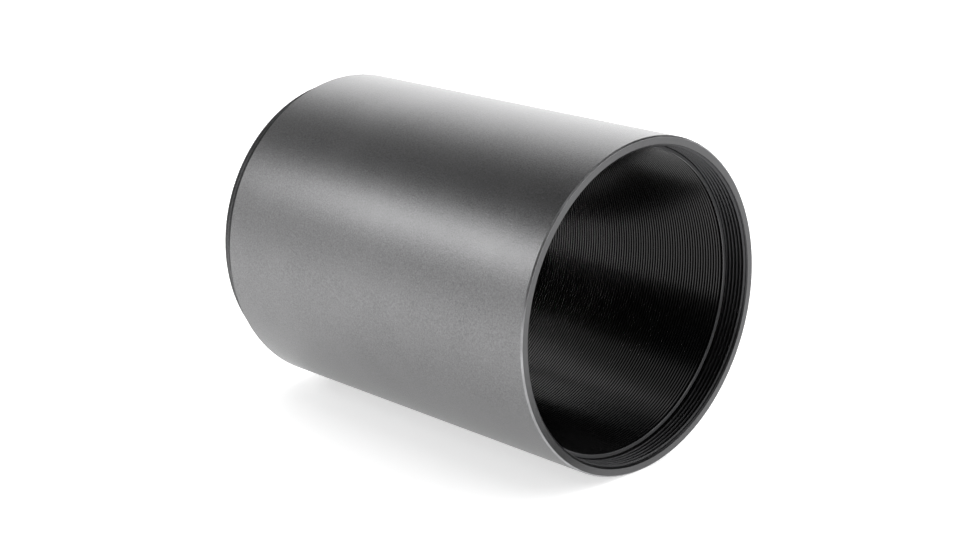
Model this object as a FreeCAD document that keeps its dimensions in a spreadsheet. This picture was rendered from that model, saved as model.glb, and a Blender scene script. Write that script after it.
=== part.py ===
import FreeCAD, Part
import os
import Sketcher

# Barlow lens in a plain turned tube.  Millimetres.
# +X is the optical axis, pointing out of the mouth where the camera or eyepiece goes.
# The origin is the centre of the end face at the telescope end.  +Z is up.

doc = FreeCAD.newDocument("barlow_lens")
sheet = doc.addObject("Spreadsheet::Sheet", "sizes")

SIZES = [
    # outer tube
    ("barrel_radius", 28.5),
    ("barrel_length", 73.4),
    ("nose_length", 3.6),
    ("body_chamfer", 0.5),
    ("rim_chamfer", 0.25),
    # threads: one fine pitch, 60 degree flanks
    ("thread_pitch", 0.75),
    ("flank_slope", 0.57735),
    ("internal_depth", 0.406),
    ("external_depth", 0.42),
    ("free_allowance", 0.03),
    ("running_allowance", 0.2),
    ("relief_width", 1.0),
    ("relief_depth", 0.15),
    ("cutter_overrun", 0.05),
    ("thread_chamfer", 0.6),
    ("nose_relief_width", 0.8),
    # radial steps from one thread to the next one inside it
    ("mouth_wall", 1.5),
    ("filter_step", 3.0),
    ("cell_step", 1.0),
    ("retainer_step", 2.5),
    ("mouth_entry", 0.12),
    # axial lengths
    ("mouth_thread_length", 4.3),
    ("filter_thread_length", 4.0),
    ("cell_thread_length", 6.0),
    ("ledge_clearance", 2.0),
    # ribbed baffle sleeve
    ("sleeve_wall", 0.7),
    ("sleeve_gap", 0.02),
    ("sleeve_setback", 0.05),
    ("sleeve_chamfer", 0.1),
    ("rib_pitch", 0.575),
    ("rib_depth", 0.32),
    ("rib_crest", 0.075),
    ("rib_margin", 0.3),
    # lens cell
    ("cell_inset", 0.7),
    ("seat_gap", 0.1),
    ("pilot_step", 0.7),
    ("pilot_gap", 0.1),
    ("cell_lip", 1.4),
    ("cell_chamfer", 0.3),
    ("glass_step", 2.25),
    ("glass_gap", 0.05),
    ("aperture_step", 1.4),
    ("slot_width", 1.6),
    ("slot_depth", 1.1),
    # friction ring between the cell and the tube
    ("oring_inset", 5.05),
    ("oring_gap", 0.04),
    ("oring_section", 0.49),
    ("oring_groove_width", 1.3),
    ("oring_groove_depth", 0.95),
    # glass and the rings that space and hold it
    ("gasket_thickness", 0.25),
    ("flint_edge", 2.5),
    ("crown_edge", 5.5),
    ("spacer_thickness", 1.2),
    ("front_edge", 4.0),
    ("glass_land", 1.2),
    ("blank_oversize", 1.25),
    ("front_curve", 220.0),
    ("back_curve", 140.0),
    ("gap_curve", 160.0),
    ("cement_curve", 90.0),
    ("exit_curve", 200.0),
    ("cushion_section", 0.5),
    ("retainer_inset", 0.45),
    ("retainer_thickness", 3.0),
    ("retainer_width", 1.8),
    ("retainer_bevel", 0.7),
    ("retainer_turns", 6),
    ("retainer_relief_lead", 0.75),
]

for row, (alias, amount) in enumerate(SIZES, start=1):
    sheet.set("A%d" % row, alias)
    sheet.set("B%d" % row, str(amount))
    sheet.setAlias("B%d" % row, alias)
doc.recompute()


def size(text):
    """Write a size formula with short names as one the document understands."""
    words = text.replace("(", " ( ").replace(")", " ) ").split()
    known = {alias for alias, _ in SIZES}
    return " ".join("sizes." + word if word in known else word for word in words)


def value(formula):
    """The present value of a size formula."""
    return float(sheet.evalExpression(formula))


# Radii and stations that several pieces share, each built from the sheet.
MOUTH = size("barrel_length + nose_length")
MOUTH_THREAD = size("barrel_radius - mouth_wall")
MOUTH_MINOR = MOUTH_THREAD + size(" - internal_depth")
FILTER_THREAD = MOUTH_THREAD + size(" - filter_step")
FILTER_MINOR = FILTER_THREAD + size(" - internal_depth")
CELL_THREAD = FILTER_THREAD + size(" - cell_step")
CELL_MINOR = CELL_THREAD + size(" - internal_depth")
CELL_CREST = CELL_THREAD + size(" - running_allowance")
PILOT_BORE = CELL_THREAD + size(" - pilot_step")
PILOT = PILOT_BORE + size(" - pilot_gap")
GLASS = PILOT + size(" - glass_step + glass_gap")
GLASS_BORE = GLASS + size(" + glass_gap")
APERTURE = GLASS + size(" - aperture_step")
RETAINER_THREAD = CELL_THREAD + size(" - retainer_step")
RETAINER_MINOR = RETAINER_THREAD + size(" - internal_depth")
RETAINER_CREST = RETAINER_THREAD + size(" - running_allowance")
SLEEVE_BORE = MOUTH_MINOR + size(" - sleeve_gap - sleeve_gap")
SLEEVE_OUTER = SLEEVE_BORE + size(" - sleeve_gap")
SLEEVE_INNER = SLEEVE_OUTER + size(" - sleeve_wall")

FILTER_END = size("filter_thread_length + relief_width")
CELL_START = FILTER_END + size(" + cell_inset")
SEAT = FILTER_END + size(" + cell_thread_length + relief_width")
CELL_SEAT = SEAT + size(" - seat_gap")

# The glass stack is chained from the retaining ring back to the seat it rests on.
RETAINER_FACE = CELL_START + size(" + retainer_inset")
RETAINER_BACK = RETAINER_FACE + size(" + retainer_thickness")
FRONT_FACE = RETAINER_BACK + size(" + 2 * cushion_section")
FRONT_BACK = FRONT_FACE + size(" + front_edge")
CROWN_FRONT = FRONT_BACK + size(" + spacer_thickness")
FLINT_FRONT = CROWN_FRONT + size(" + crown_edge")
FLINT_BACK = FLINT_FRONT + size(" + flint_edge")
GLASS_SEAT = FLINT_BACK + size(" + gasket_thickness")
CELL_END = GLASS_SEAT + size(" + cell_lip")
ORING = CELL_END + size(" - oring_inset")
LEDGE = CELL_END + size(" + ledge_clearance")

# The sleeve stands on the ledge and stops just behind the mouth thread.
THREAD_END = MOUTH + size(" - mouth_thread_length")
SLEEVE_END = THREAD_END + size(" - sleeve_setback")


def origin_plane(body, role):
    """The body's own origin plane or axis with that role."""
    return [item for item in body.Origin.OriginFeatures if item.Role == role][0]


def new_body(label):
    body = doc.addObject("PartDesign::Body", label)
    body.Label = label
    return body


def outline(body, name, corners):
    """A closed sketch of straight lines; corners are (along the axis, radius) formulas."""
    sketch = body.newObject("Sketcher::SketchObject", name)
    sketch.AttachmentSupport = (origin_plane(body, "XY_Plane"), [""])
    sketch.MapMode = "FlatFace"
    points = [FreeCAD.Vector(value(along), value(radius), 0) for along, radius in corners]
    for first, second in zip(points, points[1:] + points[:1]):
        sketch.addGeometry(Part.LineSegment(first, second))
    for line in range(len(points)):
        before = (line - 1) % len(points)
        sketch.addConstraint(Sketcher.Constraint("Coincident", before, 2, line, 1))
    for line, (along, radius) in enumerate(corners):
        if along == "0":
            sketch.addConstraint(Sketcher.Constraint("PointOnObject", line, 1, -2))
        else:
            index = sketch.addConstraint(
                Sketcher.Constraint("DistanceX", -1, 1, line, 1, points[line].x))
            sketch.setExpression("Constraints[%d]" % index, along)
        index = sketch.addConstraint(Sketcher.Constraint("DistanceY", -1, 1, line, 1, points[line].y))
        sketch.setExpression("Constraints[%d]" % index, radius)
    return sketch


def turn(body, name, corners):
    """A ring turned from its outline about the optical axis."""
    sketch = outline(body, name + "_outline", corners)
    feature = body.newObject("PartDesign::Revolution", name)
    feature.Profile = sketch
    feature.ReferenceAxis = (sketch, ["H_Axis"])
    feature.Angle = 360
    doc.recompute()
    return feature


def cut_helix(body, name, corners, run):
    """Cut a right-hand screw groove of one section, run millimetres along +X."""
    sketch = outline(body, name + "_section", corners)
    feature = body.newObject("PartDesign::SubtractiveHelix", name)
    feature.Profile = sketch
    feature.ReferenceAxis = (sketch, ["H_Axis"])
    feature.Mode = "pitch-height-angle"
    feature.setExpression("Pitch", size("thread_pitch"))
    feature.setExpression("Height", run)
    doc.recompute()
    return feature


def internal_thread(body, name, start, run, minor):
    """Thread a hole: grooves reach outwards from the minor radius."""
    air = minor + size(" - 2 * cutter_overrun")
    wide = size("3 * thread_pitch / 8 + 2 * cutter_overrun * flank_slope")
    narrow = size("3 * thread_pitch / 8 - internal_depth * flank_slope")
    tip = minor + size(" + internal_depth")
    corners = [
        (start + " - ( " + wide + " )", air),
        (start + " + " + wide, air),
        (start + " + " + narrow, tip),
        (start + " - ( " + narrow + " )", tip),
    ]
    return cut_helix(body, name, corners, run)


def external_thread(body, name, start, run, crest):
    """Thread a shaft: grooves reach inwards from the crest radius."""
    air = crest + size(" + cutter_overrun")
    wide = size("7 * thread_pitch / 16 + cutter_overrun * flank_slope")
    narrow = size("7 * thread_pitch / 16 - external_depth * flank_slope")
    root = crest + size(" - external_depth")
    corners = [
        (start + " - ( " + narrow + " )", root),
        (start + " + " + narrow, root),
        (start + " + " + wide, air),
        (start + " - ( " + wide + " )", air),
    ]
    return cut_helix(body, name, corners, run)


def spanner_slots(body, name, face, inner, outer):
    """Two slots across a ring's telescope-side face, on opposite sides."""
    sketch = body.newObject("Sketcher::SketchObject", name + "_plan")
    sketch.AttachmentSupport = (origin_plane(body, "XY_Plane"), [""])
    sketch.MapMode = "FlatFace"
    far = value(face + size(" + slot_depth"))
    near = value(face + size(" - slot_depth"))
    top = value(outer)
    bottom = value(inner)
    for sign in (1, -1):
        points = [(near, bottom), (far, bottom), (far, top), (near, top)]
        vectors = [FreeCAD.Vector(along, sign * across, 0) for along, across in points]
        base = sketch.GeometryCount
        for first, second in zip(vectors, vectors[1:] + vectors[:1]):
            sketch.addGeometry(Part.LineSegment(first, second))
        for line in range(4):
            sketch.addConstraint(
                Sketcher.Constraint("Coincident", base + (line - 1) % 4, 2, base + line, 1))
            kind = "Horizontal" if line in (0, 2) else "Vertical"
            sketch.addConstraint(Sketcher.Constraint(kind, base + line))
        lengths = [
            ("DistanceX", 0, near, face + size(" - slot_depth")),
            ("DistanceX", 2, far, face + size(" + slot_depth")),
            ("DistanceY", 0, bottom, inner),
            ("DistanceY", 2, top, outer),
        ]
        for kind, line, length, formula in lengths:
            first = (-1, 1, base + line, 1)
            if kind == "DistanceY" and sign < 0:
                first = (base + line, 1, -1, 1)
            index = sketch.addConstraint(Sketcher.Constraint(kind, *first, length))
            sketch.setExpression("Constraints[%d]" % index, formula)
    pocket = body.newObject("PartDesign::Pocket", name)
    pocket.Profile = sketch
    pocket.Midplane = True
    pocket.setExpression("Length", size("slot_width"))
    body.Tip = pocket
    doc.recompute()
    return pocket


def along_axis(feature, station):
    """Turn a primitive so that its own Z lies on the optical axis, and put it at a station."""
    feature.Placement = FreeCAD.Placement(
        FreeCAD.Vector(0, 0, 0), FreeCAD.Rotation(FreeCAD.Vector(0, 1, 0), 90))
    feature.setExpression("Placement.Base.x", station)
    return feature


def cylinder(name, start, length, radius):
    solid = doc.addObject("Part::Cylinder", name)
    solid.setExpression("Radius", radius)
    solid.setExpression("Height", length)
    return along_axis(solid, start)


def sphere(name, centre, radius):
    solid = doc.addObject("Part::Sphere", name)
    solid.setExpression("Radius", radius)
    solid.setExpression("Placement.Base.x", centre)
    return solid


def boolean(kind, name, base, tool):
    result = doc.addObject("Part::" + kind, name)
    result.Base = base
    result.Tool = tool
    return result


def flat_ring(label, start, length, inner, outer):
    """A plain ring, bored from a disc."""
    disc = cylinder(label + "_disc", start, length, outer)
    hole = cylinder(label + "_hole", start, length, inner)
    ring = boolean("Cut", label, disc, hole)
    ring.Label = label
    return ring


def round_ring(label, station, major, minor):
    """A ring of round section."""
    ring = doc.addObject("Part::Torus", label)
    ring.setExpression("Radius1", major)
    ring.setExpression("Radius2", minor)
    ring.Label = label
    return along_axis(ring, station)


def reach(curve, radius):
    """How far the centre of a ground curve lies from the plane where it has that radius."""
    return "sqrt(sizes.%s ^ 2 - (%s) ^ 2)" % (curve, radius)


# The barrel: one aluminium tube with every thread and seat turned in it.
NOSE_CREST = MOUTH_THREAD + size(" - free_allowance")
NOSE_RELIEF = NOSE_CREST + size(" - external_depth - relief_depth")
NOSE_GROOVE = size("nose_length - nose_relief_width")
barrel = new_body("barrel")
turn(barrel, "tube", [
    ("0", NOSE_CREST + size(" - thread_chamfer")),
    (size("thread_chamfer"), NOSE_CREST),
    (NOSE_GROOVE, NOSE_CREST),
    (NOSE_GROOVE, NOSE_RELIEF),
    (size("nose_length"), NOSE_RELIEF),
    (size("nose_length"), size("barrel_radius - body_chamfer")),
    (size("nose_length + body_chamfer"), size("barrel_radius")),
    (MOUTH + size(" - rim_chamfer"), size("barrel_radius")),
    (MOUTH, size("barrel_radius - rim_chamfer")),
    (MOUTH, MOUTH_THREAD + size(" + mouth_entry")),
    (MOUTH + size(" - internal_depth - mouth_entry"), MOUTH_MINOR),
    (THREAD_END, MOUTH_MINOR),
    (THREAD_END, MOUTH_THREAD + size(" + relief_depth")),
    (THREAD_END + size(" - relief_width"), MOUTH_THREAD + size(" + relief_depth")),
    (THREAD_END + size(" - relief_width"), SLEEVE_BORE),
    (LEDGE, SLEEVE_BORE),
    (LEDGE, PILOT_BORE),
    (SEAT, PILOT_BORE),
    (SEAT, CELL_THREAD + size(" + relief_depth")),
    (SEAT + size(" - relief_width"), CELL_THREAD + size(" + relief_depth")),
    (SEAT + size(" - relief_width"), CELL_MINOR),
    (FILTER_END, CELL_MINOR),
    (FILTER_END, FILTER_THREAD + size(" + relief_depth")),
    (size("filter_thread_length"), FILTER_THREAD + size(" + relief_depth")),
    (size("filter_thread_length"), FILTER_MINOR),
    (size("thread_chamfer"), FILTER_MINOR),
    ("0", FILTER_MINOR + size(" + thread_chamfer")),
])
MOUTH_THREAD_START = THREAD_END + size(" - relief_width / 2")
internal_thread(
    barrel, "mouth_thread", MOUTH_THREAD_START,
    size("mouth_thread_length + relief_width / 2 + thread_pitch"), MOUTH_MINOR)
external_thread(
    barrel, "nose_thread", size("0 - thread_pitch"),
    size("nose_length + thread_pitch - nose_relief_width / 2"), NOSE_CREST)
internal_thread(
    barrel, "filter_thread", size("0 - thread_pitch"),
    size("filter_thread_length + thread_pitch + relief_width / 2"), FILTER_MINOR)
CELL_GROOVE_START = FILTER_END + size(" - relief_width / 2")
internal_thread(
    barrel, "cell_seat_thread", CELL_GROOVE_START,
    size("cell_thread_length + relief_width"), CELL_MINOR)

# The baffle sleeve: a thin black tube, ribbed inside, pushed in against the barrel's ledge.
sleeve = new_body("baffle_sleeve")
turn(sleeve, "sleeve_tube", [
    (LEDGE, SLEEVE_OUTER),
    (SLEEVE_END + size(" - sleeve_chamfer"), SLEEVE_OUTER),
    (SLEEVE_END, SLEEVE_OUTER + size(" - sleeve_chamfer")),
    (SLEEVE_END, SLEEVE_INNER + size(" + sleeve_chamfer")),
    (SLEEVE_END + size(" - sleeve_chamfer"), SLEEVE_INNER),
    (LEDGE, SLEEVE_INNER),
])
RIBBED = SLEEVE_END + " - (" + LEDGE + ")" + size(" - 2 * rib_margin")
RIB_COUNT = "floor((" + RIBBED + ") / sizes.rib_pitch)"
RIB_START = SLEEVE_END + size(" - rib_margin - rib_pitch") + " * " + RIB_COUNT
rib_sketch = outline(sleeve, "rib_groove_section", [
    (RIB_START, SLEEVE_INNER + size(" - cutter_overrun")),
    (RIB_START + size(" + rib_pitch - rib_crest"), SLEEVE_INNER + size(" - cutter_overrun")),
    (RIB_START + size(" + rib_pitch - rib_crest"), SLEEVE_INNER),
    (RIB_START + size(" + ( rib_pitch - rib_crest ) / 2"), SLEEVE_INNER + size(" + rib_depth")),
    (RIB_START, SLEEVE_INNER),
])
rib_groove = sleeve.newObject("PartDesign::Groove", "rib_groove")
rib_groove.Profile = rib_sketch
rib_groove.ReferenceAxis = (rib_sketch, ["H_Axis"])
rib_groove.Angle = 360
doc.recompute()
ribs = sleeve.newObject("PartDesign::LinearPattern", "ribs")
ribs.Originals = [rib_groove]
ribs.Direction = (rib_sketch, ["H_Axis"])
ribs.Mode = "Spacing"
ribs.setExpression("Offset", size("rib_pitch"))
ribs.setExpression("Occurrences", RIB_COUNT)
sleeve.Tip = ribs
doc.recompute()

# The lens cell: screws into the telescope end and carries all the glass.
cell = new_body("lens_cell")
ORING_FLOOR = PILOT + size(" - oring_groove_depth")
RELIEF_FRONT = RETAINER_BACK + size(" - retainer_relief_lead")
RELIEF_BACK = RELIEF_FRONT + size(" + relief_width")
turn(cell, "cell_ring", [
    (CELL_START, CELL_CREST + size(" - thread_chamfer")),
    (CELL_START + size(" + thread_chamfer"), CELL_CREST),
    (CELL_SEAT, CELL_CREST),
    (CELL_SEAT, PILOT),
    (ORING + size(" - oring_groove_width / 2"), PILOT),
    (ORING + size(" - oring_groove_width / 2"), ORING_FLOOR),
    (ORING + size(" + oring_groove_width / 2"), ORING_FLOOR),
    (ORING + size(" + oring_groove_width / 2"), PILOT),
    (CELL_END + size(" - cell_chamfer"), PILOT),
    (CELL_END, PILOT + size(" - cell_chamfer")),
    (CELL_END, APERTURE + size(" + cell_lip / 2")),
    (CELL_END + size(" - cell_lip / 2"), APERTURE),
    (GLASS_SEAT, APERTURE),
    (GLASS_SEAT, GLASS_BORE),
    (RELIEF_BACK, GLASS_BORE),
    (RELIEF_BACK, RETAINER_THREAD + size(" + relief_depth")),
    (RELIEF_FRONT, RETAINER_THREAD + size(" + relief_depth")),
    (RELIEF_FRONT, RETAINER_MINOR),
    (CELL_START + size(" + thread_chamfer"), RETAINER_MINOR),
    (CELL_START, RETAINER_MINOR + size(" + thread_chamfer")),
])
# A tooth of the cell sits in the middle of each groove of the barrel, half a pitch along.
external_thread(
    cell, "cell_thread", CELL_GROOVE_START + size(" - thread_pitch / 2"),
    size("cell_thread_length + 2 * relief_width + thread_pitch"), CELL_CREST)
RETAINER_GROOVE_START = RELIEF_FRONT + size(" + relief_width / 2 - retainer_turns * thread_pitch")
internal_thread(
    cell, "retainer_seat_thread", RETAINER_GROOVE_START,
    size("retainer_turns * thread_pitch"), RETAINER_MINOR)


spanner_slots(cell, "cell_slots", CELL_START, RETAINER_MINOR + size(" - relief_width"),
              CELL_CREST + size(" + relief_width"))

# The retaining ring: screws into the cell and holds the glass stack against its seat.
RETAINER_INNER = RETAINER_CREST + size(" - retainer_width")
retainer = new_body("retaining_ring")
turn(retainer, "retainer_blank", [
    (RETAINER_FACE, RETAINER_CREST + size(" - cell_chamfer")),
    (RETAINER_FACE + size(" + cell_chamfer"), RETAINER_CREST),
    (RETAINER_BACK + size(" - cell_chamfer"), RETAINER_CREST),
    (RETAINER_BACK, RETAINER_CREST + size(" - cell_chamfer")),
    (RETAINER_BACK, RETAINER_INNER),
    (RETAINER_FACE + size(" + retainer_bevel"), RETAINER_INNER),
    (RETAINER_FACE, RETAINER_INNER + size(" + retainer_bevel")),
])
external_thread(
    retainer, "retainer_thread", RETAINER_GROOVE_START + size(" + thread_pitch / 2"),
    size("retainer_turns * thread_pitch + relief_width"), RETAINER_CREST)
spanner_slots(retainer, "retainer_slots", RETAINER_FACE, RETAINER_INNER + size(" - relief_width"),
              RETAINER_CREST + size(" + relief_width"))


CLEAR = GLASS + size(" - glass_land")

# The friction ring that rides in the cell's outer groove and rubs on the barrel's bore.
round_ring("cell_friction_ring", ORING,
           PILOT_BORE + size(" - oring_gap - oring_section"), size("oring_section"))

# The glass, from the telescope side.  Each element is a disc with its faces ground by spheres.
front_disc = cylinder("front_disc", FRONT_FACE, size("front_edge"), GLASS)
front_tool = sphere("front_tool", FRONT_FACE + " - " + reach("front_curve", CLEAR),
                    size("front_curve"))
back_tool = sphere("back_tool", FRONT_BACK + " + " + reach("back_curve", CLEAR), size("back_curve"))
front_ground = boolean("Cut", "front_ground", front_disc, front_tool)
boolean("Cut", "front_element", front_ground, back_tool)

flat_ring("element_spacer", FRONT_BACK, size("spacer_thickness"), CLEAR, GLASS)

cement_centre = FLINT_FRONT + " + " + reach("cement_curve", GLASS)
crown_disc = cylinder("crown_disc", CROWN_FRONT, size("crown_edge + blank_oversize"), GLASS)
gap_tool = sphere("gap_tool", CROWN_FRONT + " - " + reach("gap_curve", CLEAR),
                  size("gap_curve"))
crown_tool = sphere("crown_tool", cement_centre, size("cement_curve"))
crown_ground = boolean("Cut", "crown_ground", crown_disc, gap_tool)
boolean("Cut", "crown_element", crown_ground, crown_tool)

# The flint's blank reaches forward over the crown's edge, so its front is all ground face.
flint_disc = cylinder("flint_disc", FLINT_FRONT + size(" - crown_edge"),
                      size("crown_edge + flint_edge"), GLASS)
flint_tool = sphere("flint_tool", cement_centre, size("cement_curve"))
exit_tool = sphere("exit_tool", FLINT_BACK + " + " + reach("exit_curve", CLEAR), size("exit_curve"))
flint_ground = boolean("Common", "flint_ground", flint_disc, flint_tool)
boolean("Cut", "flint_element", flint_ground, exit_tool)

# Soft rings either side of the glass stack.
flat_ring("seat_gasket", FLINT_BACK, size("gasket_thickness"), APERTURE, GLASS)
round_ring("cushion_ring", FRONT_FACE + size(" - cushion_section"),
           GLASS + size(" - glass_land / 2"), size("cushion_section"))
doc.recompute()

NODES = [
    "barrel", "baffle_sleeve", "lens_cell", "cell_friction_ring", "retaining_ring",
    "cushion_ring", "front_element", "element_spacer", "crown_element", "flint_element",
    "seat_gasket",
]

for item in doc.Objects:
    faults = [word for word in item.State if word in ("Invalid", "Error")]
    if faults:
        raise RuntimeError("%s did not build: %s" % (item.Label, faults))

os.makedirs("parts", exist_ok=True)
for label in NODES:
    shape = doc.getObject(label).Shape
    if shape.isNull() or not shape.isValid():
        raise RuntimeError(label + " has no valid shape")
    shape.exportStep("parts/" + label + ".step")
    print(label, len(shape.Solids), round(shape.Volume, 2))
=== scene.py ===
# %% [markdown]
# # A Barlow lens, dressed for the studio
# A Barlow lens is a negative lens group in a tube.  It screws between a telescope's
# focuser and the eyepiece or camera, and stretches the focal length.
# The solid model already holds every turned piece at its real size, in metres here,
# with the optical axis along X and the open mouth at the +X end.
# This script gives each piece its finish, cuts the anti-glare ribs, and sets up the studio.

# %% Load the frame
import math

import bmesh
import bpy
from mathutils import Matrix, Vector


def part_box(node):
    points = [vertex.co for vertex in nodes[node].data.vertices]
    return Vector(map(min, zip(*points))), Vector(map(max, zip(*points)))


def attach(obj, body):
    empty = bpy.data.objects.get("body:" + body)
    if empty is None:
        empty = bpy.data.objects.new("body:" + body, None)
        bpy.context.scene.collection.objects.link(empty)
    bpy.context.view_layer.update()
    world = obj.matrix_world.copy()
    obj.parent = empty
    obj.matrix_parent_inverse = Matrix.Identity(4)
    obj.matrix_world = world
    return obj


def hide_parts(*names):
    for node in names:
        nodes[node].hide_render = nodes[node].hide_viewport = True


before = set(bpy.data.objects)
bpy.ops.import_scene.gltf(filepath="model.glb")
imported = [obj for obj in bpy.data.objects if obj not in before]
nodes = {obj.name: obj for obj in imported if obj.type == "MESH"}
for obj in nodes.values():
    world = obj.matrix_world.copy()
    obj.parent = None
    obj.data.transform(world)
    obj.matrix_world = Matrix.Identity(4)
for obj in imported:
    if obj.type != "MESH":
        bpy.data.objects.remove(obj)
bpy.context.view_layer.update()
print("pieces from the solid model:", sorted(nodes))

# %% [markdown]
# The main sizes are read from the loaded pieces, so the looks follow the solid model
# if it changes.  The outer tube gives the mouth plane and the radius, and the sleeve
# gives the length that the ribs fill.

# %% Read the main sizes
MM = 0.001
SLEEVE_WALL = 0.70 * MM
tube_high = Vector(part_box("barrel")[1])
sleeve_low, sleeve_high = [Vector(corner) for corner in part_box("baffle_sleeve")]
mouth_x = tube_high.x
tube_radius = tube_high.z
sleeve_start = sleeve_low.x
sleeve_end = sleeve_high.x
sleeve_outer = sleeve_high.z
sleeve_inner = sleeve_outer - SLEEVE_WALL
print("mouth at %.1f mm, tube radius %.2f mm" % (mouth_x / MM, tube_radius / MM))
for name in sorted(nodes):
    mesh = nodes[name].data
    mesh.calc_loop_triangles()
    print(name, len(mesh.loop_triangles), "triangles")

# %% [markdown]
# ## How the finishes are wired
# Each finish is a small node network.  Three helpers keep the wiring readable: one adds
# a node, one feeds a socket with a number or another socket, and one does arithmetic.

# %% Wiring helpers
def add_node(tree, kind, **settings):
    node = tree.nodes.new(kind)
    for key, value in settings.items():
        setattr(node, key, value)
    return node


def feed(tree, socket, value):
    """Join a socket to another socket, or give it a fixed value."""
    if isinstance(value, bpy.types.NodeSocket):
        tree.links.new(value, socket)
    else:
        socket.default_value = value


def calc(tree, operation, *values, clamp=False):
    node = add_node(tree, "ShaderNodeMath", operation=operation, use_clamp=clamp)
    for socket, value in zip(node.inputs, values):
        feed(tree, socket, value)
    return node.outputs[0]


# %% [markdown]
# A turned part has a natural pair of coordinates: how far along the axis, and how far out
# from it.  Finishes use them to tell a lip from a bore, and to lay tool marks in rings.

# %% Coordinates on a turned part
def turned_coordinates(tree):
    """Sockets for the point, its distance along the axis and its radius."""
    point = add_node(tree, "ShaderNodeTexCoord").outputs["Object"]
    parts = add_node(tree, "ShaderNodeSeparateXYZ")
    feed(tree, parts.inputs[0], point)
    across = calc(tree, "MULTIPLY", parts.outputs["Y"], parts.outputs["Y"])
    high = calc(tree, "MULTIPLY", parts.outputs["Z"], parts.outputs["Z"])
    radius = calc(tree, "SQRT", calc(tree, "ADD", across, high))
    return point, parts.outputs["X"], radius


def between(tree, value, low, high, soft):
    """One between low and high, fading to nothing over the soft width outside them."""
    rise = add_node(tree, "ShaderNodeMapRange", interpolation_type="SMOOTHSTEP")
    feed(tree, rise.inputs["Value"], value)
    rise.inputs["From Min"].default_value = low - soft
    rise.inputs["From Max"].default_value = low
    fall = add_node(tree, "ShaderNodeMapRange", interpolation_type="SMOOTHSTEP")
    feed(tree, fall.inputs["Value"], value)
    fall.inputs["From Min"].default_value = high
    fall.inputs["From Max"].default_value = high + soft
    fall.inputs["To Min"].default_value = 1.0
    fall.inputs["To Max"].default_value = 0.0
    return calc(tree, "MULTIPLY", rise.outputs[0], fall.outputs[0])


def noise(tree, point, size, detail=2.0, roughness=0.5):
    """Soft random values whose lumps are about size across, from 0 to 1."""
    node = add_node(tree, "ShaderNodeTexNoise")
    feed(tree, node.inputs["Vector"], point)
    node.inputs["Scale"].default_value = 1.0 / size
    node.inputs["Detail"].default_value = detail
    node.inputs["Roughness"].default_value = roughness
    return node.outputs["Fac"]


def blend_colours(tree, amount, first, second):
    node = add_node(tree, "ShaderNodeMix", data_type="RGBA")
    feed(tree, node.inputs["Factor"], amount)
    feed(tree, node.inputs["A"], first)
    feed(tree, node.inputs["B"], second)
    return node.outputs["Result"]


def spread(tree, value, low, high):
    """Stretch the middle of a noise over low to high."""
    node = add_node(tree, "ShaderNodeMapRange")
    feed(tree, node.inputs["Value"], value)
    node.inputs["From Min"].default_value = 0.3
    node.inputs["From Max"].default_value = 0.7
    node.inputs["To Min"].default_value = low
    node.inputs["To Max"].default_value = high
    return node.outputs[0]


def bump(tree, height, distance, strength=1.0, under=None):
    node = add_node(tree, "ShaderNodeBump")
    feed(tree, node.inputs["Height"], height)
    node.inputs["Distance"].default_value = distance
    node.inputs["Strength"].default_value = strength
    if under is not None:
        feed(tree, node.inputs["Normal"], under)
    return node.outputs["Normal"]


def new_finish(name):
    """An empty material with one shader, ready to be wired."""
    finish = bpy.data.materials.new(name)
    finish.use_nodes = True
    tree = finish.node_tree
    shader = tree.nodes["Principled BSDF"]
    return finish, tree, shader


# %% [markdown]
# ## The tube: bead-blasted, grey anodised aluminium
# The blank is blasted with fine glass beads before it is anodised, which leaves a satin
# skin full of tiny dimples.  The colour drifts slightly where the dye took unevenly.
# The turned rims are painted paler: partly wear on the edges, partly a painted highlight
# along the chamfers.  The lip face is left darker, and the bore behind it is coloured
# nearly black.

# %% Grey anodising
GREY_DEEP = (0.112, 0.112, 0.114, 1.0)
GREY_PALE = (0.166, 0.166, 0.168, 1.0)
GREY_SPECK = (0.270, 0.270, 0.273, 1.0)
BARE_AND_HIGHLIT_EDGE = (0.42, 0.42, 0.43, 1.0)
LIP_GREY = (0.105, 0.105, 0.107, 1.0)
BORE_BLACK = (0.060, 0.060, 0.062, 1.0)
BLAST_GRAIN = 0.26 * MM
DYE_DRIFT = 14 * MM
GRAIN_DEPTH = 0.045 * MM
NOSE_LENGTH = 3.6 * MM
NOSE_RIM = 0.55 * MM
LIP_INNER = 27.12 * MM
RIM_WIDTH = 0.30 * MM
LIP_SKIN = 0.05 * MM
BORE_DARK_START = 12 * MM
FADE = 0.03 * MM
SHARP_FADE = 0.01 * MM

grey, tree, shader = new_finish("grey_anodised_skin")
point, along, radius = turned_coordinates(tree)
drift = noise(tree, point, DYE_DRIFT, detail=3.0)
grain = noise(tree, point, BLAST_GRAIN, detail=3.0, roughness=0.65)
skin = blend_colours(tree, spread(tree, drift, 0.2, 0.8), GREY_DEEP, GREY_PALE)
speck = blend_colours(tree, spread(tree, grain, 0.0, 0.75), skin, GREY_SPECK)
rim = between(tree, radius, tube_radius - RIM_WIDTH, tube_radius - FADE, FADE)
at_mouth = between(tree, along, mouth_x - RIM_WIDTH, mouth_x, FADE)
at_nose = between(tree, along, NOSE_LENGTH, NOSE_LENGTH + NOSE_RIM, FADE)
front_rim = calc(tree, "MULTIPLY", rim, at_mouth)
rear_rim = calc(tree, "MULTIPLY", rim, at_nose)
rims = calc(tree, "MAXIMUM", front_rim, rear_rim)
rub_and_sheen_patches = spread(tree, noise(tree, point, 2.5 * MM), 0.35, 0.9)
# Paler rims: partly wear on the edges, partly a painted highlight along the chamfers.
worn_and_highlit = blend_colours(tree, calc(tree, "MULTIPLY", rims, rub_and_sheen_patches), speck, BARE_AND_HIGHLIT_EDGE)
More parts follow.
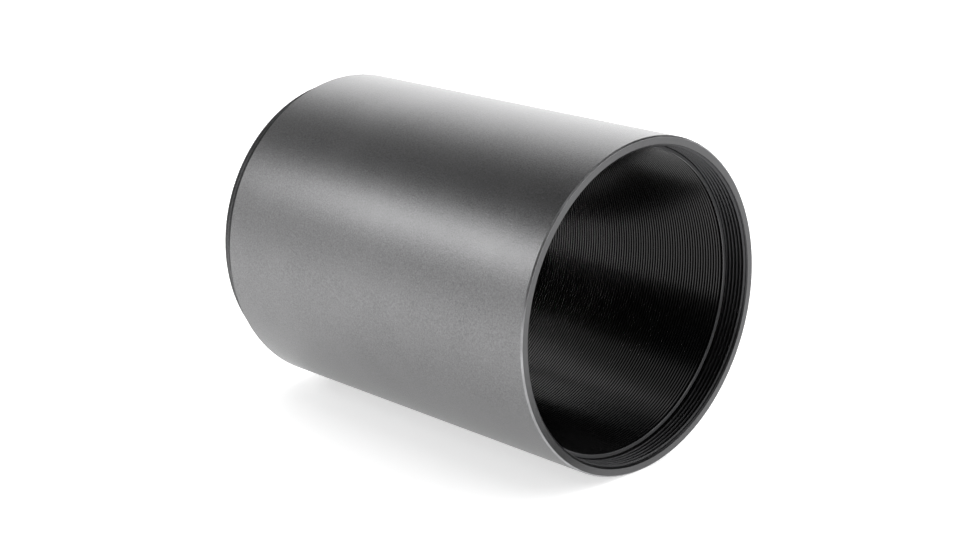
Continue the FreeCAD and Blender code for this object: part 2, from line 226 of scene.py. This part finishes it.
# The inside of the bore is coloured nearly black from a set distance along the axis.
inside = between(tree, radius, 0.0, LIP_INNER, 0.02 * MM)
deep = between(tree, along, BORE_DARK_START, mouth_x - 0.02 * MM, SHARP_FADE)
bore_darkened = calc(tree, "MULTIPLY", inside, deep)
lip_ring = between(tree, radius, LIP_INNER, tube_radius - RIM_WIDTH, 0.04 * MM)
lip_skin = between(tree, along, mouth_x - LIP_SKIN, mouth_x, SHARP_FADE)
lip = calc(tree, "MULTIPLY", lip_ring, lip_skin)
lipped = blend_colours(tree, lip, worn_and_highlit, LIP_GREY)
feed(tree, shader.inputs["Base Color"], blend_colours(tree, bore_darkened, lipped, BORE_BLACK))
shader.inputs["Metallic"].default_value = 1.0
feed(tree, shader.inputs["Roughness"], spread(tree, grain, 0.28, 0.42))
feed(tree, shader.inputs["Normal"], bump(tree, grain, GRAIN_DEPTH, 0.8))
print("made", grey.name)

# %% [markdown]
# ## Black pieces
# The baffle sleeve is dyed dead black and left rough, so that light that grazes the bore
# is scattered and soaked up.  Only the crests of its ribs keep a little shine; the groove
# floors are made dull as painted shade.  Its flat end face is painted as a paler ring
# behind the thread, a painted highlight.
# The lens cell and its rings are a satin black that shows the rings left by the turning tool.

# %% Black finishes
TOOL_MARK = 0.09 * MM
SKIN_GRAIN = 0.12 * MM
SKIN_DEPTH = 0.003 * MM
END_SKIN = 0.11 * MM
CREST_ROOM = 0.02 * MM
FLOOR_ROOM = 0.22 * MM
END_FACE_HIGHLIGHT = (0.075, 0.075, 0.077, 1.0)


def black_finish(name, dark, pale, rough, ring_depth, shine=0.5, painted_light_radii=None):
    """A turned black skin.

    The last argument gives the radii of shiny crests and of groove floors made dull as
    painted shade.  When it is given, the sleeve's end face is painted paler, a painted highlight.
    """
    finish, tree, shader = new_finish(name)
    point, along, radius = turned_coordinates(tree)
    if painted_light_radii is not None:
        # Crests keep their shine and the groove floors lose it: painted shade in the hollows.
        depth = add_node(tree, "ShaderNodeMapRange", interpolation_type="SMOOTHSTEP")
        feed(tree, depth.inputs["Value"], radius)
        depth.inputs["From Min"].default_value = painted_light_radii[0]
        depth.inputs["From Max"].default_value = painted_light_radii[1]
        depth.inputs["To Min"].default_value = shine
        depth.inputs["To Max"].default_value = 0.02
        shine = depth.outputs[0]
    cloud = noise(tree, point, 3.0 * MM, detail=3.0)
    grain = noise(tree, point, SKIN_GRAIN, detail=2.0, roughness=0.7)
    tone = blend_colours(tree, spread(tree, cloud, 0.1, 0.9), dark, pale)
    if painted_light_radii is not None:
        # The end face is painted paler: a painted highlight on its flat ring.
        lit_end_face = between(tree, along, sleeve_end - END_SKIN, sleeve_end, SHARP_FADE)
        tone = blend_colours(tree, lit_end_face, tone, END_FACE_HIGHLIGHT)
    feed(tree, shader.inputs["Base Color"], tone)
    shader.inputs["Metallic"].default_value = 0.0
    feed(tree, shader.inputs["Specular IOR Level"], shine)
    feed(tree, shader.inputs["Roughness"], spread(tree, grain, rough - 0.05, rough + 0.05))
    way = calc(tree, "ADD", radius, along)
    rings = calc(tree, "SINE", calc(tree, "MULTIPLY", way, 2 * math.pi / TOOL_MARK))
    turned = bump(tree, rings, ring_depth, 0.35)
    feed(tree, shader.inputs["Normal"], bump(tree, grain, SKIN_DEPTH, 0.3, under=turned))
    print("made", name)
    return finish


DEAD_BLACK = (0.0012, 0.0012, 0.0013, 1.0)
DEAD_BLACK_PALE = (0.0024, 0.0024, 0.0026, 1.0)
SATIN_BLACK = (0.014, 0.014, 0.015, 1.0)
SATIN_BLACK_PALE = (0.024, 0.024, 0.025, 1.0)
sleeve_black = black_finish(
    "baffle_black", DEAD_BLACK, DEAD_BLACK_PALE, 0.17, 0.0002 * MM, shine=0.62,
    painted_light_radii=(sleeve_inner + CREST_ROOM, sleeve_inner + FLOOR_ROOM))
cell_black = black_finish("cell_satin_black", SATIN_BLACK, SATIN_BLACK_PALE, 0.34, 0.0015 * MM)

# %% [markdown]
# ## Rubber and film
# The friction ring and the cushion ring are moulded nitrile rubber, matte with a faint
# bloom.  The seat gasket is a thin black film.

# %% Soft rings
def soft_finish(name, dark, bloom, rough):
    finish, tree, shader = new_finish(name)
    point, along, radius = turned_coordinates(tree)
    dust = noise(tree, point, 1.2 * MM, detail=4.0, roughness=0.6)
    tone = blend_colours(tree, spread(tree, dust, 0.0, 0.7), dark, bloom)
    feed(tree, shader.inputs["Base Color"], tone)
    feed(tree, shader.inputs["Roughness"], spread(tree, dust, rough - 0.08, rough + 0.08))
    fine = noise(tree, point, 0.15 * MM, detail=2.0)
    feed(tree, shader.inputs["Normal"], bump(tree, fine, 0.004 * MM, 0.4))
    print("made", name)
    return finish


rubber = soft_finish("nitrile_rubber", (0.016, 0.016, 0.016, 1), (0.040, 0.040, 0.041, 1), 0.62)
film = soft_finish("gasket_film_black", (0.020, 0.020, 0.020, 1), (0.032, 0.032, 0.032, 1), 0.5)

# %% [markdown]
# ## Coated glass
# Polished glass with a thin anti-reflection coat.  The coat leaves a weak reflection that
# is green face on and turns violet at a slant.  The ground edge of each disc is matte.

# %% Glass
def lens_glass(name, ior, tint, face_radius):
    finish, tree, shader = new_finish(name)
    point, along, radius = turned_coordinates(tree)
    edge = between(tree, radius, face_radius - 0.05 * MM, face_radius + 1.0 * MM, 0.1 * MM)
    frost = noise(tree, point, 0.2 * MM, detail=3.0)
    edge_rough = spread(tree, frost, 0.35, 0.55)
    shader.inputs["Base Color"].default_value = tint
    shader.inputs["Transmission Weight"].default_value = 1.0
    shader.inputs["IOR"].default_value = ior
    smear = spread(tree, noise(tree, point, 6 * MM, detail=3.0), 0.0, 0.02)
    roughness = add_node(tree, "ShaderNodeMix", data_type="FLOAT")
    feed(tree, roughness.inputs["Factor"], edge)
    feed(tree, roughness.inputs["A"], smear)
    feed(tree, roughness.inputs["B"], edge_rough)
    feed(tree, shader.inputs["Roughness"], roughness.outputs["Result"])
    slant = add_node(tree, "ShaderNodeLayerWeight")
    slant.inputs["Blend"].default_value = 0.35
    coat = blend_colours(tree, slant.outputs["Facing"], (0.25, 0.80, 0.45, 1), (0.55, 0.30, 0.80, 1))
    feed(tree, shader.inputs["Specular Tint"], coat)
    print("made", name)
    return finish


glass_high = Vector(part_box("front_element")[1])
crown_glass = lens_glass("crown_glass_coated", 1.52, (0.97, 0.99, 0.975, 1), glass_high.z)
flint_glass = lens_glass("flint_glass_coated", 1.62, (0.98, 0.985, 0.965, 1), glass_high.z)

# %% [markdown]
# Each solid piece keeps its shape and only takes its finish.

# %% Dress the pieces
FINISHES = {
    "barrel": grey,
    "baffle_sleeve": sleeve_black,
    "lens_cell": cell_black,
    "retaining_ring": cell_black,
    "element_spacer": cell_black,
    "cell_friction_ring": rubber,
    "cushion_ring": rubber,
    "seat_gasket": film,
    "front_element": crown_glass,
    "crown_element": crown_glass,
    "flint_element": flint_glass,
}
for name, finish in FINISHES.items():
    for slot in nodes[name].material_slots:
        slot.link = "OBJECT"
        slot.material = finish
    print(name, "wears", finish.name)

# %% [markdown]
# ## The ribbed baffle
# The sleeve is bored out and then grooved, ring after ring, all the way down.  Each groove
# is a small V with a narrow flat crest beside it, so light that grazes the bore meets a
# wall instead of a mirror.  One rib is drawn once and repeated down the bore by Geometry
# Nodes, so a change of pitch or count redraws the whole sleeve.

# %% Sizes of the baffle
RIB_PITCH = 0.575 * MM
RIB_DEPTH = 0.32 * MM
RIB_CREST = 0.075 * MM
RIB_MARGIN = 0.30 * MM
SLEEVE_CHAMFER = 0.10 * MM
AROUND = 240
WELD_DISTANCE = 0.002 * MM
SHARP_EDGE = math.radians(25)
rib_count = int((sleeve_end - sleeve_start - 2 * RIB_MARGIN) / RIB_PITCH)
rib_start = sleeve_end - RIB_MARGIN - rib_count * RIB_PITCH
print(rib_count, "ribs, the first at %.2f mm" % (rib_start / MM))

# %% [markdown]
# A ring of any profile is a stack of open cones, each joining one radius to the next.  The
# tree below builds them along Z and turns the finished stack onto the optical axis.

# %% Tree helpers for turned rings
def open_cone(tree, around, start, length, first_radius, last_radius):
    """One turned surface without end caps, from one radius to another along Z."""
    cone = add_node(tree, "GeometryNodeMeshCone", fill_type="NONE")
    feed(tree, cone.inputs["Vertices"], around)
    feed(tree, cone.inputs["Radius Bottom"], first_radius)
    feed(tree, cone.inputs["Radius Top"], last_radius)
    feed(tree, cone.inputs["Depth"], length)
    place = add_node(tree, "ShaderNodeCombineXYZ")
    feed(tree, place.inputs["Z"], start)
    move = add_node(tree, "GeometryNodeTransform")
    feed(tree, move.inputs["Geometry"], cone.outputs["Mesh"])
    feed(tree, move.inputs["Translation"], place.outputs[0])
    return move.outputs["Geometry"]


def join(tree, parts):
    joined = add_node(tree, "GeometryNodeJoinGeometry")
    for part in parts:
        tree.links.new(part, joined.inputs["Geometry"])
    return joined.outputs["Geometry"]


# %% Inputs of the baffle tree
baffle_tree = bpy.data.node_groups.new("ribbed_baffle_rings", "GeometryNodeTree")
SETTINGS = [
    ("Around", "NodeSocketInt", AROUND),
    ("Rib Count", "NodeSocketInt", rib_count),
    ("Rib Pitch", "NodeSocketFloat", RIB_PITCH),
    ("Rib Depth", "NodeSocketFloat", RIB_DEPTH),
    ("Rib Crest", "NodeSocketFloat", RIB_CREST),
    ("Rib Start", "NodeSocketFloat", rib_start),
    ("Sleeve Start", "NodeSocketFloat", sleeve_start),
    ("Sleeve End", "NodeSocketFloat", sleeve_end),
    ("Inner Radius", "NodeSocketFloat", sleeve_inner),
    ("Outer Radius", "NodeSocketFloat", sleeve_outer),
    ("Chamfer", "NodeSocketFloat", SLEEVE_CHAMFER),
    ("Finish", "NodeSocketMaterial", sleeve_black),
]
baffle_tree.interface.new_socket("Geometry", in_out="INPUT", socket_type="NodeSocketGeometry")
sockets = {}
for title, kind, value in SETTINGS:
    sockets[title] = baffle_tree.interface.new_socket(title, in_out="INPUT", socket_type=kind)
baffle_tree.interface.new_socket("Geometry", in_out="OUTPUT", socket_type="NodeSocketGeometry")
given = add_node(baffle_tree, "NodeGroupInput").outputs
print("inputs:", [title for title, kind, value in SETTINGS])

# %% [markdown]
# One rib: a flank that falls away from the bore, a flank that climbs back, and the flat
# crest.  A line of points, one pitch apart, carries a copy of it on every point.

# %% One rib, repeated
groove = calc(baffle_tree, "SUBTRACT", given["Rib Pitch"], given["Rib Crest"])
half_groove = calc(baffle_tree, "MULTIPLY", groove, 0.5)
floor_radius = calc(baffle_tree, "ADD", given["Inner Radius"], given["Rib Depth"])
bore = given["Inner Radius"]
rib = join(baffle_tree, [
    open_cone(baffle_tree, given["Around"], 0.0, half_groove, bore, floor_radius),
    open_cone(baffle_tree, given["Around"], half_groove, half_groove, floor_radius, bore),
    open_cone(baffle_tree, given["Around"], groove, given["Rib Crest"], bore, bore),
])
line = add_node(baffle_tree, "GeometryNodeMeshLine", mode="OFFSET")
line_start = add_node(baffle_tree, "ShaderNodeCombineXYZ")
line_step = add_node(baffle_tree, "ShaderNodeCombineXYZ")
feed(baffle_tree, line_start.inputs["Z"], given["Rib Start"])
feed(baffle_tree, line_step.inputs["Z"], given["Rib Pitch"])
feed(baffle_tree, line.inputs["Count"], given["Rib Count"])
feed(baffle_tree, line.inputs["Start Location"], line_start.outputs[0])
feed(baffle_tree, line.inputs["Offset"], line_step.outputs[0])
copies = add_node(baffle_tree, "GeometryNodeInstanceOnPoints")
feed(baffle_tree, copies.inputs["Points"], line.outputs["Mesh"])
feed(baffle_tree, copies.inputs["Instance"], rib)
real_ribs = add_node(baffle_tree, "GeometryNodeRealizeInstances")
feed(baffle_tree, real_ribs.inputs["Geometry"], copies.outputs["Instances"])

# %% [markdown]
# The plain surfaces close the sleeve around the ribs: the short land at each end of the
# bore, the chamfered end faces and the outside that the tube grips.

# %% The plain surfaces
def minus(first, second):
    return calc(baffle_tree, "SUBTRACT", first, second)


def plus(first, second):
    return calc(baffle_tree, "ADD", first, second)


outer = given["Outer Radius"]
chamfer = given["Chamfer"]
first_end = given["Sleeve Start"]
last_end = given["Sleeve End"]
rib_length = calc(baffle_tree, "MULTIPLY", given["Rib Count"], given["Rib Pitch"])
rib_end = plus(given["Rib Start"], rib_length)
chamfer_start = minus(last_end, chamfer)
PLAIN = [
    (first_end, minus(given["Rib Start"], first_end), bore, bore),
    (rib_end, minus(chamfer_start, rib_end), bore, bore),
    (chamfer_start, chamfer, bore, plus(bore, chamfer)),
    (last_end, 0.0, plus(bore, chamfer), minus(outer, chamfer)),
    (chamfer_start, chamfer, outer, minus(outer, chamfer)),
    (first_end, minus(chamfer_start, first_end), outer, outer),
    (first_end, 0.0, outer, bore),
]
plain = [open_cone(baffle_tree, given["Around"], *numbers) for numbers in PLAIN]
print("plain surfaces:", len(plain))

# %% Turn the stack onto the axis and weld it
whole = join(baffle_tree, plain + [real_ribs.outputs["Geometry"]])
weld = add_node(baffle_tree, "GeometryNodeMergeByDistance")
feed(baffle_tree, weld.inputs["Geometry"], whole)
weld.inputs["Distance"].default_value = WELD_DISTANCE
lay = add_node(baffle_tree, "GeometryNodeTransform")
feed(baffle_tree, lay.inputs["Geometry"], weld.outputs["Geometry"])
lay.inputs["Rotation"].default_value = (0.0, math.pi / 2, 0.0)
solid = add_node(baffle_tree, "GeometryNodeRealizeInstances")
feed(baffle_tree, solid.inputs["Geometry"], lay.outputs["Geometry"])
wear = add_node(baffle_tree, "GeometryNodeSetMaterial")
feed(baffle_tree, wear.inputs["Geometry"], solid.outputs["Geometry"])
feed(baffle_tree, wear.inputs["Material"], given["Finish"])
result = add_node(baffle_tree, "NodeGroupOutput")
feed(baffle_tree, result.inputs["Geometry"], wear.outputs["Geometry"])

# %% [markdown]
# The tree is run once on an empty carrier.  What it makes is kept as a plain mesh, its
# faces are turned outward, and its edges stay crisp where two surfaces meet at an angle.

# %% Run the tree once
carrier = bpy.data.objects.new("baffle_carrier", bpy.data.meshes.new("baffle_carrier"))
bpy.context.scene.collection.objects.link(carrier)
runner = carrier.modifiers.new("rings", "NODES")
runner.node_group = baffle_tree
for title, kind, value in SETTINGS:
    runner[sockets[title].identifier] = value
graph = bpy.context.evaluated_depsgraph_get()
baffle_mesh = bpy.data.meshes.new_from_object(carrier.evaluated_get(graph), depsgraph=graph)
bpy.data.objects.remove(carrier)
shape = bmesh.new()
shape.from_mesh(baffle_mesh)
bmesh.ops.remove_doubles(shape, verts=shape.verts, dist=WELD_DISTANCE)
bmesh.ops.recalc_face_normals(shape, faces=shape.faces)
open_edges = [edge for edge in shape.edges if not edge.is_manifold]
for face in shape.faces:
    face.smooth = True
    face.material_index = 0
shape.to_mesh(baffle_mesh)
volume = shape.calc_volume(signed=True)
shape.free()
baffle_mesh.materials.clear()
baffle_mesh.materials.append(sleeve_black)
baffle_mesh.set_sharp_from_angle(angle=SHARP_EDGE)
baffle = bpy.data.objects.new("ribbed_baffle", baffle_mesh)
bpy.context.scene.collection.objects.link(baffle)
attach(baffle, "tube")
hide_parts("baffle_sleeve")
print(len(baffle_mesh.polygons), "faces,", len(open_edges), "open edges")
print("volume %.0f cubic mm" % (volume / MM ** 3))

# %% [markdown]
# ## The studio
# The part lies on a sheet of white acrylic that is lit from below, so it throws hardly any
# shadow.  The satin tube mostly shows what it reflects: the bright backdrop along its top,
# a dark gap overhead as one broad stripe, then a soft box to the front left as a pale band.

# %% Table and backdrop
def plain_finish(name, colour, rough, glow=0.0):
    """A nearly even colour; glow is how strongly the sheet is lit from behind."""
    finish, tree, shader = new_finish(name)
    point = add_node(tree, "ShaderNodeTexCoord").outputs["Object"]
    cloud = noise(tree, point, 40 * MM, detail=3.0)
    shade = tuple(0.99 * part for part in colour[:3]) + (1,)
    tone = blend_colours(tree, spread(tree, cloud, 0.4, 0.6), colour, shade)
    feed(tree, shader.inputs["Base Color"], tone)
    shader.inputs["Roughness"].default_value = rough
    shader.inputs["Emission Color"].default_value = (1.0, 1.0, 1.0, 1.0)
    shader.inputs["Emission Strength"].default_value = glow
    return finish


table_z = -tube_radius
TABLE_HALF = 2.5
TABLE_GLOW = 0.55
TABLE_WHITE = (0.90, 0.90, 0.90, 1)
table_mesh = bpy.data.meshes.new("pale_table")
corners = [(-TABLE_HALF, -TABLE_HALF, table_z), (TABLE_HALF, -TABLE_HALF, table_z),
           (TABLE_HALF, TABLE_HALF, table_z), (-TABLE_HALF, TABLE_HALF, table_z)]
table_mesh.from_pydata(corners, [], [(0, 1, 2, 3)])
table = bpy.data.objects.new("pale_table", table_mesh)
bpy.context.scene.collection.objects.link(table)
acrylic = plain_finish("white_acrylic", TABLE_WHITE, 0.7, TABLE_GLOW)
table.data.materials.append(acrylic)
print("table at z = %.1f mm" % (table_z / MM))

# %% [markdown]
# The dome's brightness follows one slanted height, so its dark gap lies a little to the
# front of straight up.  The backdrop behind the part is lit a little over twice as strongly.

# %% Surroundings
world = bpy.data.worlds.new("studio_dome")
bpy.context.scene.world = world
world.use_nodes = True
tree = world.node_tree
sky = tree.nodes["Background"]
direction = add_node(tree, "ShaderNodeSeparateXYZ")
feed(tree, direction.inputs[0], add_node(tree, "ShaderNodeTexCoord").outputs["Generated"])
DOME = [(0.0, 1.0), (0.40, 1.0), (0.52, 0.75), (0.62, 0.35), (0.70, 0.10), (0.80, 0.03), (1.0, 0.03)]
SLANT = 0.25
BACK_BOOST = 1.25
lean = calc(tree, "MULTIPLY", direction.outputs["Y"], SLANT)
height = calc(tree, "SUBTRACT", direction.outputs["Z"], lean)
ramp = add_node(tree, "ShaderNodeValToRGB")
feed(tree, ramp.inputs["Fac"], height)
ramp.color_ramp.elements[0].position = DOME[0][0]
ramp.color_ramp.elements[0].color = (DOME[0][1],) * 3 + (1,)
ramp.color_ramp.elements[1].position = DOME[-1][0]
ramp.color_ramp.elements[1].color = (DOME[-1][1],) * 3 + (1,)
for place_on_ramp, level in DOME[1:-1]:
    stop = ramp.color_ramp.elements.new(place_on_ramp)
    stop.color = (level, level, level, 1)
behind = between(tree, direction.outputs["Y"], 0.45, 2.0, 0.35)
boost = calc(tree, "ADD", calc(tree, "MULTIPLY", behind, BACK_BOOST), 1.0)
feed(tree, sky.inputs["Color"], ramp.outputs["Color"])
feed(tree, sky.inputs["Strength"], boost)
print("dome levels by slanted height:", DOME)


# %% Lights
def soft_box(name, aim, direction, distance, wide, tall, watts):
    """A rectangular lamp that faces the aim point from the given direction."""
    lamp = bpy.data.lights.new(name, "AREA")
    lamp.shape = "RECTANGLE"
    lamp.size = wide
    lamp.size_y = tall
    lamp.energy = watts
    holder = bpy.data.objects.new(name, lamp)
    way = Vector(direction).normalized()
    face = way.to_track_quat("Z", "Y").to_matrix().to_4x4()
    holder.matrix_world = Matrix.Translation(Vector(aim) + way * distance) @ face
    bpy.context.scene.collection.objects.link(holder)
    print(name, "at", [round(c, 3) for c in holder.matrix_world.translation])
    return holder


band_point = Vector((mouth_x - 0.3 * tube_radius, -0.87 * tube_radius, 0.5 * tube_radius))
soft_box("band_box", band_point, (-0.68, -0.60, 0.42), 0.20, 0.09, 0.05, 0.068)
table_light = soft_box("table_light", (0, 0, 0), (0.0, 0.1, 1.0), 1.3, 1.8, 1.8, 14.0)
table_light.visible_glossy = False

# %% [markdown]
# Two small soft boxes above the mouth pick out the ribs low in the bore.  Black cards at the
# camera's side, at the far side and on the table keep the rest of the bore dark.

# %% Lights for the bore
mouth_centre = Vector((mouth_x, 0.0, 0.0))
soft_box("bore_box_low", mouth_centre, (0.84, 0.00, 0.66), 0.40, 0.16, 0.055, 0.055)
soft_box("bore_box_high", mouth_centre, (0.70, 0.36, 0.72), 0.40, 0.10, 0.055, 0.045)

# %% Dark cards
def dark_card(name, corners):
    """A black card that only reflections can see, so it neither shades nor shows."""
    mesh = bpy.data.meshes.new(name)
    mesh.from_pydata(corners, [], [(0, 1, 2, 3)])
    card = bpy.data.objects.new(name, mesh)
    bpy.context.scene.collection.objects.link(card)
    card.data.materials.append(cloth)
    card.visible_camera = False
    card.visible_shadow = False
    card.visible_diffuse = False
    print(name, [tuple(round(part, 3) for part in corner) for corner in corners])
    return card


def upright_card(name, direction, distance, half_wide, low, high):
    """A card that stands square to a level direction from the mouth."""
    way = Vector(direction).normalized()
    side = Vector((0, 0, 1)).cross(way).normalized()
    middle = mouth_centre + way * distance
    corners = []
    for across, level in ((-1, low), (1, low), (1, high), (-1, high)):
        corners.append(middle + side * (across * half_wide) + Vector((0, 0, level)))
    return dark_card(name, corners)


cloth = plain_finish("card_cloth", (0.004, 0.004, 0.004, 1), 0.9)
upright_card("card_camera_side", (0.80, -0.50, 0.0), 0.30, 0.26, table_z, 0.145)
upright_card("card_far_side", (0.50, 0.80, 0.0), 0.30, 0.22, 0.120, 0.50)
upright_card("card_far_back", (0.22, 0.97, 0.0), 0.30, 0.12, 0.0, 0.50)
CARD_NEAR = mouth_x + 8 * MM
CARD_FAR = mouth_x + 27 * MM
CARD_HEIGHT = table_z + 1 * MM
CARD_RIGHT = -32 * MM
CARD_LEFT = 22 * MM
dark_card("card_on_table", [
    Vector((CARD_NEAR, CARD_RIGHT, CARD_HEIGHT)),
    Vector((CARD_FAR, CARD_RIGHT, CARD_HEIGHT)),
    Vector((CARD_FAR, CARD_LEFT, CARD_HEIGHT)),
    Vector((CARD_NEAR, CARD_LEFT, CARD_HEIGHT)),
])

# %% [markdown]
# The camera stands in front and to one side of the mouth, a little above the axis.  It is
# stepped sideways so that the whole tube, and not only the mouth, sits in mid frame.

# %% Camera
AZIMUTH = math.radians(45.41)
ELEVATION = math.radians(16.66)
DISTANCE = 11.173 * tube_radius
SIDE_STEP = -0.886 * tube_radius
RISE = 0.191 * tube_radius
FOCAL_MM = 71.96

back = Vector((
    math.sin(AZIMUTH) * math.cos(ELEVATION),
    -math.cos(AZIMUTH) * math.cos(ELEVATION),
    math.sin(ELEVATION),
))
right = Vector((math.cos(AZIMUTH), math.sin(AZIMUTH), 0.0))
up = back.cross(right)
studio_lens = bpy.data.cameras.new("studio_camera")
studio_lens.lens = FOCAL_MM
studio_lens.sensor_width = 36.0
studio_lens.clip_start = 0.01
camera = bpy.data.objects.new("studio_camera", studio_lens)
place = Vector((mouth_x, 0.0, 0.0)) + back * DISTANCE + right * SIDE_STEP + up * RISE
turn = Matrix((right, up, back)).transposed().to_4x4()
camera.matrix_world = Matrix.Translation(place) @ turn
bpy.context.scene.collection.objects.link(camera)
bpy.context.scene.camera = camera
bpy.context.scene.view_settings.view_transform = "Standard"
print("camera at", [round(c, 4) for c in place])
